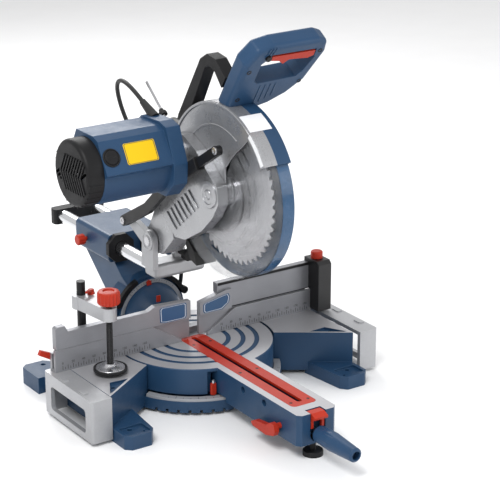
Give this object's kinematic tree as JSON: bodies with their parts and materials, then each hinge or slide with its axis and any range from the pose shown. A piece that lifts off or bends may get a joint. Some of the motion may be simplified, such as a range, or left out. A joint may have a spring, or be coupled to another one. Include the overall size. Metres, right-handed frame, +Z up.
{
  "type": "sliding compound mitre saw",
  "caption": "Sliding compound mitre saw with raised head, turntable with front arm, split fence, table extensions, work clamp and mains cord.",
  "frame": {"origin": "on the bench plane under the mitre pivot, at the centre of the bench bolt pattern", "axes": "+X to the operator's right along the fence, +Y away from the operator, +Z up"},
  "size_m": [0.592, 0.899, 0.6601],
  "materials": {
    "blue_paint": "semi-gloss powder coat",
    "bare_aluminium": "cast, sides as cast, faces machined",
    "blue_plastic": "fine texture",
    "silver_paint": "satin silver paint",
    "black_plastic": "fine texture",
    "black_metal": "satin black",
    "red_plastic": "smooth",
    "grey_scale": "matt with printed marks",
    "steel": "ground",
    "rail_chrome": "polished",
    "blade_steel": "ground, fine circular marks",
    "smoke_clear": "clear smoky polycarbonate",
    "rubber": "matt"
  },
  "bodies": {
    "base": {"base_casting": "blue_paint", "mitre_scale": "grey_scale", "pivot_bolt": "steel", "lower_fence": "bare_aluminium", "power_cord": "rubber", "cord_coil": "rubber", "plug": "rubber"},
    "left_extension": {"left_extension": "bare_aluminium", "left_extension_rods": "steel"},
    "right_extension": {"right_extension": "bare_aluminium", "right_extension_rods": "steel"},
    "table": {"turntable": "bare_aluminium", "kerf_insert": "red_plastic", "bevel_scale": "grey_scale", "bevel_pivot_bolt": "steel"},
    "front_foot": {"front_foot": "black_plastic"},
    "mitre_lock": {"mitre_lock_handle": "blue_plastic", "mitre_lock_rod": "steel"},
    "detent": {"detent_lever": "red_plastic"},
    "bevel_lock": {"bevel_lock_lever": "red_plastic"},
    "tilt": {"tilt_arm": "blue_paint", "bearing_caps": "black_plastic", "linear_bearings": "steel"},
    "rail_lock": {"rail_lock_knob": "red_plastic"},
    "left_stop": {"left_bevel_stop": "black_metal"},
    "right_stop": {"right_bevel_stop": "black_metal"},
    "carriage": {"slide_rails": "rail_chrome", "carriage_bracket": "bare_aluminium", "rear_bar": "black_plastic", "hinge_pin": "steel"},
    "depth_stop": {"depth_stop_screw": "black_plastic"},
    "lock_pin": {"lock_pin_knob": "black_plastic"},
    "head": {"gear_case": "silver_paint", "upper_guard_left": "silver_paint", "upper_guard_right": "blue_paint", "motor_housing": "blue_plastic", "motor_end_cap": "black_plastic", "motor_neck": "silver_paint", "handle_shell": "blue_plastic", "carry_handle": "black_plastic", "cord_gland": "rubber", "dust_chute": "rubber", "dust_port": "black_plastic"},
    "rotor": {"armature": "steel"},
    "trigger": {"trigger": "red_plastic"},
    "lock_off": {"lock_off_button": "red_plastic"},
    "blade": {"saw_blade": "blade_steel", "blade_flanges": "steel", "arbor_shaft": "steel"},
    "lower_guard": {"lower_guard_left": "smoke_clear", "lower_guard_right": "blue_plastic"},
    "link": {"guard_link": "black_metal"},
    "left_fence": {"left_upper_fence": "bare_aluminium"},
    "fence_lever": {"left_fence_lever": "red_plastic"},
    "right_fence": {"right_upper_fence": "bare_aluminium"},
    "fence_knob": {"right_fence_knob": "red_plastic"},
    "clamp": {"clamp_post": "black_metal", "clamp_arm": "bare_aluminium"},
    "clamp_pad": {"clamp_pad": "black_metal"},
    "clamp_screw": {"clamp_screw": "red_plastic"}
  },
  "joints": [
    {"name": "mitre_swing", "type": "hinge", "parent": "base", "child": "table", "pos_m": [0, 0, 0.08], "axis": [0, 0, 1], "range_deg": [-45, 45]},
    {"name": "bevel_tilt", "type": "hinge", "parent": "table", "child": "tilt", "pos_m": [0, 0.152, 0.08], "axis": [0, 1, 0], "range_deg": [-35, 28]},
    {"name": "head_slide", "type": "slide", "parent": "tilt", "child": "carriage", "axis": [0, -1, 0], "range_m": [-0.1, 0.07]},
    {"name": "chop", "type": "hinge", "parent": "carriage", "child": "head", "pos_m": [0, 0.06, 0.255], "axis": [1, 0, 0], "range_deg": [0, 48], "stiffness_Nm_per_rad": 22, "springref_deg": -74.48, "deforming": ["power_cord"]},
    {"name": "blade_spin", "type": "hinge", "parent": "head", "child": "blade", "pos_m": [0, -0.121, 0.387], "axis": [1, 0, 0], "continuous": true},
    {"name": "rotor_spin", "type": "hinge", "parent": "head", "child": "rotor", "pos_m": [-0.1, -0.033, 0.436], "axis": [1, 0, 0], "continuous": true},
    {"name": "guard_retract", "type": "hinge", "parent": "head", "child": "lower_guard", "pos_m": [0, -0.121, 0.387], "axis": [1, 0, 0], "range_deg": [-158.4, 0]},
    {"name": "link_swing", "type": "hinge", "parent": "carriage", "child": "link", "pos_m": [-0.0645, 0.122, 0.277], "axis": [1, 0, 0], "range_deg": [0, 43.2]},
    {"name": "trigger_pull", "type": "slide", "parent": "head", "child": "trigger", "axis": [0, -0.5446, 0.8387], "range_m": [0, 0.003], "stiffness_N_per_m": 1800, "springref_m": -0.003},
    {"name": "lock_off_press", "type": "slide", "parent": "head", "child": "lock_off", "axis": [0, 0.8387, 0.5446], "range_m": [0, 0.003], "stiffness_N_per_m": 900, "springref_m": -0.003},
    {"name": "foot_turn", "type": "hinge", "parent": "table", "child": "front_foot", "pos_m": [0, -0.357, 0.005], "axis": [0, 0, 1], "range_deg": [-180, 180]},
    {"name": "mitre_lock_turn", "type": "hinge", "parent": "table", "child": "mitre_lock", "pos_m": [0, -0.4, 0.043], "axis": [0, 1, 0], "range_deg": [-90, 180]},
    {"name": "detent_press", "type": "slide", "parent": "table", "child": "detent", "axis": [0, 0, -1], "range_m": [0, 0.003], "stiffness_N_per_m": 1500, "springref_m": -0.003},
    {"name": "bevel_lock_lift", "type": "hinge", "parent": "table", "child": "bevel_lock", "pos_m": [-0.045, -0.318, 0.046], "axis": [1, 0, 0], "range_deg": [0, 40]},
    {"name": "rail_lock_turn", "type": "hinge", "parent": "tilt", "child": "rail_lock", "pos_m": [-0.06, 0.28, 0.1955], "axis": [1, 0, 0], "range_deg": [-180, 180]},
    {"name": "left_stop_turn", "type": "hinge", "parent": "tilt", "child": "left_stop", "pos_m": [-0.06943, 0.148, 0.11091], "axis": [0, -1, 0], "range_deg": [0, 20]},
    {"name": "right_stop_turn", "type": "hinge", "parent": "tilt", "child": "right_stop", "pos_m": [0.06943, 0.148, 0.11091], "axis": [0, 1, 0], "range_deg": [0, 20]},
    {"name": "depth_stop_turn", "type": "hinge", "parent": "carriage", "child": "depth_stop", "pos_m": [0.008, 0.05, 0.224], "axis": [0, 1, 0], "range_deg": [-180, 180]},
    {"name": "lock_pin_push", "type": "slide", "parent": "carriage", "child": "lock_pin", "axis": [1, 0, 0], "range_m": [-0.0048, 0]},
    {"name": "left_fence_slide", "type": "slide", "parent": "base", "child": "left_fence", "axis": [-1, 0, 0], "range_m": [0, 0.07]},
    {"name": "fence_lever_turn", "type": "hinge", "parent": "base", "child": "fence_lever", "pos_m": [-0.262, 0.0218, 0.1], "axis": [0, 1, 0], "range_deg": [-30, 0]},
    {"name": "right_fence_slide", "type": "slide", "parent": "base", "child": "right_fence", "axis": [1, 0, 0], "range_m": [0, 0.07]},
    {"name": "fence_knob_turn", "type": "hinge", "parent": "right_fence", "child": "fence_knob", "pos_m": [0.262, 0, 0.18], "axis": [0, 0, 1], "range_deg": [-180, 180]},
    {"name": "left_extension_slide", "type": "slide", "parent": "base", "child": "left_extension", "axis": [-1, 0, 0], "range_m": [0, 0.065]},
    {"name": "right_extension_slide", "type": "slide", "parent": "base", "child": "right_extension", "axis": [1, 0, 0], "range_m": [-0.0095, 0.055]},
    {"name": "clamp_swing", "type": "hinge", "parent": "base", "child": "clamp", "pos_m": [-0.207, 0.03, 0.1], "axis": [0, 0, 1], "range_deg": [-30, 25]},
    {"name": "clamp_feed", "type": "slide", "parent": "clamp", "child": "clamp_pad", "axis": [0, 0, 1], "range_m": [-0.0035, 0.036]},
    {"name": "clamp_turn", "type": "hinge", "parent": "clamp_pad", "child": "clamp_screw", "pos_m": [-0.197, -0.047, 0.2], "axis": [0, 0, 1], "range_deg": [-316, 3242]}
  ],
  "couplings": [
    {"joint": "guard_retract", "follows": "chop", "ratio": -3.3},
    {"joint": "link_swing", "follows": "chop", "ratio": 0.9},
    {"joint": "rotor_spin", "follows": "blade_spin", "ratio": 4},
    {"joint": "clamp_turn", "follows": "clamp_feed", "rad_per_m": 1569.9}
  ]
}
